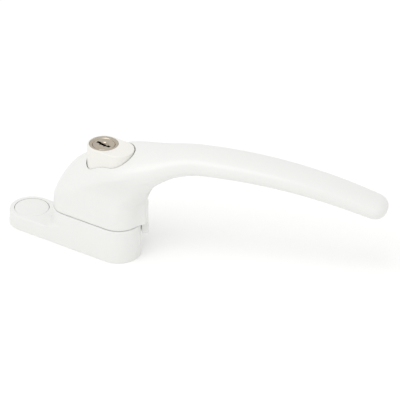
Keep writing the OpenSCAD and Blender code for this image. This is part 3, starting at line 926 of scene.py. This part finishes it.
def finish(name):
    """The material of that name, made once."""
    if name not in FINISHES:
        colours = bpy.context.scene.handle_finishes
        makers = {
            "powder": lambda: coating(
                "White powder coat", colours.powder_colour, colours.powder_roughness
            ),
            "cap": lambda: coating(
                "White cap plastic", colours.powder_colour, 0.4, 700.0, 0.006
            ),
            "plastic": lambda: coating(
                "Warm white plastic", colours.plastic_colour, 0.3, 1400.0, 0.004
            ),
            "acetal": lambda: coating("Acetal", colours.acetal_colour, 0.38, 500.0, 0.01),
            "nickel_face": lambda: faced_metal(
                "Satin nickel face", colours.nickel_colour, 0.34
            ),
            "nickel_barrel": lambda: faced_metal(
                "Polished nickel barrel", colours.nickel_colour, 0.22
            ),
            "zinc": lambda: metal("Zinc-plated steel", colours.steel_colour, 0.36),
            "spring": lambda: metal(
                "Spring steel", colours.steel_colour, 0.26, (300.0, 300.0, 300.0)
            ),
            "brass": lambda: metal(
                "Wafer brass", colours.brass_colour, 0.3, (80.0, 900.0, 900.0)
            ),
        }
        FINISHES[name] = makers[name]()
    return FINISHES[name]


NODE_FINISHES = {
    "bearing_bush": "acetal",
    "thrust_washer": "acetal",
    "stop_pin": "zinc",
    "wave_washer": "spring",
    "spindle_sleeve": "zinc",
    "drive_dowels": "zinc",
    "circlip": "spring",
    "cover_plate": "zinc",
    "cover_screws": "zinc",
    "button_spring": "spring",
    "lock_clip": "spring",
    "locking_pin": "zinc",
    "wafers": "brass",
    "wafer_springs": "spring",
    "lock_cam": "zinc",
    "cam_screw": "zinc",
}


class HANDLE_OT_finishes(Operator):
    """Give each part that the frame already shows its finish."""

    bl_idname = "handle.finishes"
    bl_label = "Inner parts' finishes"

    def execute(self, context):
        for node, name in NODE_FINISHES.items():
            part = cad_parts[node]
            for slot in part.material_slots:
                slot.material = finish(name)
        return {"FINISHED"}


# ---------- stage ----------

class HANDLE_OT_stage(Operator):
    """Add the floor, the soft light and the camera."""

    bl_idname = "handle.stage"
    bl_label = "Stage"

    def execute(self, context):
        scene = context.scene
        low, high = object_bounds()
        centre = (Vector(low) + Vector(high)) / 2
        self.floor(scene, low[2], centre)
        self.world(scene)
        self.light(scene, "Key light", centre, (0.0, -0.6, 1.03), 0.9, 4.2)
        self.light(scene, "Fill light", centre, (0.75, -0.35, 0.35), 0.5, 0.1)
        self.camera(scene)
        scene.view_settings.view_transform = "Standard"
        return {"FINISHED"}

    @staticmethod
    def floor(scene, height, centre):
        """Wide pale floor just under the base's back."""
        bm = bmesh.new()
        bmesh.ops.create_grid(bm, x_segments=8, y_segments=8, size=3)
        bmesh.ops.translate(bm, verts=bm.verts, vec=(centre.x, centre.y, height - 0.05 * MM))
        mesh = bpy.data.meshes.new("Floor")
        bm.to_mesh(mesh)
        bm.free()
        mesh.materials.append(floor_finish(scene.handle_finishes.floor_colour))
        floor = bpy.data.objects.new("Floor", mesh)
        scene.collection.objects.link(floor)
        floor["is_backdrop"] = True

    @staticmethod
    def world(scene):
        """Bright even surroundings."""
        world = bpy.data.worlds.new("Studio")
        world.use_nodes = True
        world.node_tree.nodes.clear()
        start = Wire(world.node_tree)
        shade = start.node("Background", {}, {"Color": (1.0, 1.0, 0.995, 1.0), "Strength": 0.91})
        start.node("OutputWorld", {}, {"Surface": shade})
        scene.world = world

    @staticmethod
    def light(scene, name, centre, offset, size, power):
        """Square soft light that faces the handle."""
        data = bpy.data.lights.new(name, "AREA")
        data.size = size
        data.energy = power
        light = bpy.data.objects.new(name, data)
        light.location = centre + Vector(offset)
        light.rotation_mode = "QUATERNION"
        light.rotation_quaternion = (-Vector(offset)).to_track_quat("-Z", "Y")
        scene.collection.objects.link(light)
        light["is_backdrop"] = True

    @staticmethod
    def camera(scene):
        """Long lens from the front left, above the handle."""
        turn, rise = math.radians(35.1), math.radians(30.6)
        right = Vector((math.cos(turn), math.sin(turn), 0.0))
        back = Vector((
            math.sin(turn) * math.cos(rise), -math.cos(turn) * math.cos(rise), math.sin(rise)
        ))
        up = back.cross(right)
        distance = 2.5
        width = 161.4 * MM
        aim = right * (50.43 * MM) + up * (14.57 * MM)
        data = bpy.data.cameras.new("Camera")
        data.sensor_width = 36
        data.lens = data.sensor_width * distance / width
        data.clip_start, data.clip_end = distance / 50, distance * 10
        camera = bpy.data.objects.new("Camera", data)
        camera.location = aim + back * distance
        camera.rotation_mode = "QUATERNION"
        camera.rotation_quaternion = (-back).to_track_quat("-Z", "Y")
        scene.collection.objects.link(camera)
        scene.camera = camera


class HANDLE_PT_panel(Panel):
    """Lists the handle's pieces, sizes and finishes."""

    bl_idname = "HANDLE_PT_panel"
    bl_label = "Window handle"
    bl_space_type = "VIEW_3D"
    bl_region_type = "UI"
    bl_category = "Handle"

    def draw(self, context):
        for group in (context.scene.handle_sizes, context.scene.handle_finishes):
            column = self.layout.column(align=True)
            for name in group.bl_rna.properties.keys():
                if name not in ("rna_type", "name"):
                    column.prop(group, name)
        for operator in OPERATORS:
            self.layout.operator(operator.bl_idname)


OPERATORS = (
    HANDLE_OT_base,
    HANDLE_OT_cap,
    HANDLE_OT_lever,
    HANDLE_OT_button,
    HANDLE_OT_lock,
    HANDLE_OT_finishes,
    HANDLE_OT_stage,
)
CLASSES = (HandleSizes, HandleFinishes, *OPERATORS, HANDLE_PT_panel)


def register():
    for cls in CLASSES:
        bpy.utils.register_class(cls)
    bpy.types.Scene.handle_sizes = PointerProperty(type=HandleSizes)
    bpy.types.Scene.handle_finishes = PointerProperty(type=HandleFinishes)


def unregister():
    del bpy.types.Scene.handle_finishes
    del bpy.types.Scene.handle_sizes
    for cls in reversed(CLASSES):
        bpy.utils.unregister_class(cls)


def main():
    """Builds the whole handle."""
    register()
    bpy.ops.handle.base()
    bpy.ops.handle.cap()
    bpy.ops.handle.lever()
    bpy.ops.handle.button()
    bpy.ops.handle.lock()
    bpy.ops.handle.finishes()
    bpy.ops.handle.stage()


if __name__ == "__main__":
    main()
